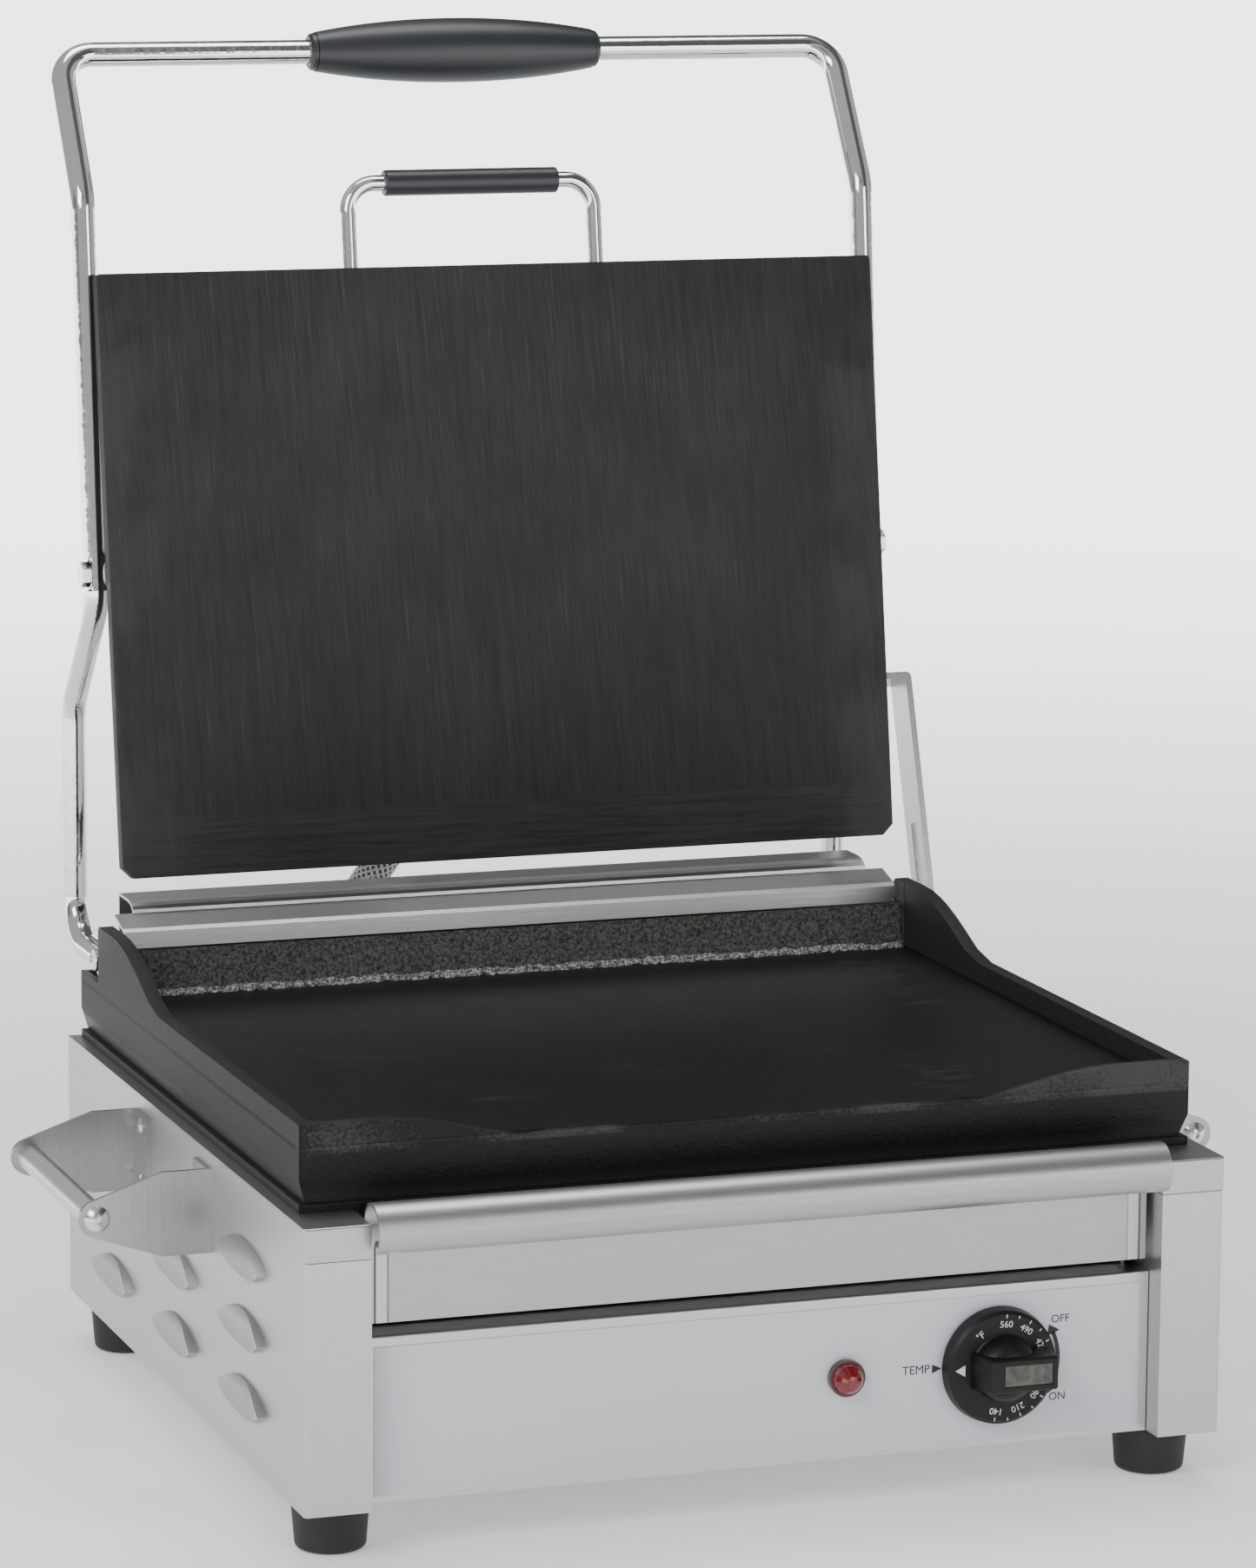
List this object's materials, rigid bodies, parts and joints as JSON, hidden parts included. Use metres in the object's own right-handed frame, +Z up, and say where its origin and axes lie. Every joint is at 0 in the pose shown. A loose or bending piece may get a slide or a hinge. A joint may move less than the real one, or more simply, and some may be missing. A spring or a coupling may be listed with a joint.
{
  "type": "panini press",
  "caption": "Counter-top contact grill: flat cast lower plate on a stainless casing, hinged floating upper plate in a tube frame, front grease drawer, thermostat knob",
  "frame": {"origin": "under the middle of the overall box, at table level, lid open", "axes": "+Z up, front faces -Y, +X to the right seen from the front"},
  "size_m": [0.514, 0.4555, 0.5923],
  "materials": {
    "stainless": "brushed stainless sheet",
    "chrome": "bright plated tube",
    "steel_fixings": "bright screws and pins",
    "cast_iron": "seasoned cast iron",
    "ground_iron": "ground cooking face",
    "rubber": "moulded rubber",
    "grip_plastic": "satin black",
    "knob_plastic": "satin black",
    "label": "printed film",
    "lamp_red": "translucent red",
    "heater_sheath": "oxidised sheath",
    "aluminium": "mill finish",
    "insulation": "mineral wool",
    "control_plastic": "moulded",
    "terminal_plastic": "moulded",
    "braid": "woven steel braid",
    "spring_steel": "oiled spring wire",
    "gland_metal": "nickel plated brass"
  },
  "bodies": {
    "base": {"side_panel_left": "stainless", "side_panel_right": "stainless", "deck": "stainless", "rear_panel": "stainless", "rear_screws": "steel_fixings", "control_panel": "stainless", "control_label": "label", "bottom_plate": "stainless", "floor_screws": "steel_fixings", "rubber_feet": "rubber", "foot_screws": "steel_fixings", "lower_grill_plate": "cast_iron", "lower_heater": "heater_sheath", "lower_heater_straps": "steel_fixings", "reflector_pan": "aluminium", "thermostat": "control_plastic", "thermostat_bulb": "gland_metal", "pilot_bezel": "lamp_red", "pilot_lens": "lamp_red", "terminal_block": "terminal_plastic", "inlet_gland": "gland_metal", "conduit_gland": "gland_metal", "lid_conduit": "braid", "drawer_guides": "stainless", "rear_guard": "stainless", "guard_screws": "steel_fixings", "hinge_bearings": "steel_fixings", "bearing_screws": "steel_fixings", "hinge_springs": "spring_steel", "handle_brackets_left": "stainless", "handle_brackets_right": "stainless", "handle_bar_left": "stainless", "handle_bar_right": "stainless", "handle_screws": "steel_fixings", "lid_stop_bar": "stainless", "stop_spacers": "steel_fixings", "stop_bolts": "steel_fixings"},
    "drawer": {"drawer_box": "stainless", "drawer_front": "stainless"},
    "knob": {"control_knob": "knob_plastic", "knob_insert": "aluminium", "knob_spindle": "steel_fixings"},
    "lid_frame": {"frame_tube": "chrome", "frame_grip": "grip_plastic", "hinge_shaft": "steel_fixings", "spring_collars": "steel_fixings"},
    "upper_plate": {"upper_plate": "ground_iron", "upper_cover": "stainless", "conduit_elbow": "gland_metal", "cover_studs": "steel_fixings", "cover_nuts": "steel_fixings", "upper_heater": "heater_sheath", "upper_heater_straps": "steel_fixings", "upper_insulation": "insulation", "small_handle_rod": "chrome", "small_handle_grip": "grip_plastic", "small_handle_nuts": "steel_fixings", "pivot_bolts": "steel_fixings", "pivot_washers": "steel_fixings"}
  },
  "joints": [
    {"name": "lid_hinge", "type": "hinge", "parent": "base", "child": "lid_frame", "pos_m": [0, 0.14501, 0.176], "axis": [1, 0, 0], "range_deg": [0, 90], "stiffness_Nm_per_rad": 4, "springref_deg": -17.19, "deforming": ["lid_conduit", "hinge_springs"]},
    {"name": "plate_tilt", "type": "hinge", "parent": "lid_frame", "child": "upper_plate", "pos_m": [0, 0.15601, 0.34985], "axis": [1, 0, 0], "range_deg": [0, 8.5]},
    {"name": "drawer_slide", "type": "slide", "parent": "base", "child": "drawer", "axis": [0, -1, 0], "range_m": [0, 0.2]},
    {"name": "knob_turn", "type": "hinge", "parent": "base", "child": "knob", "pos_m": [0.103, -0.22011, 0.056], "axis": [0, 1, 0], "range_deg": [0, 265]}
  ],
  "couplings": [
    {"joint": "plate_tilt", "follows": "lid_hinge", "ratio": 0.094444}
  ]
}
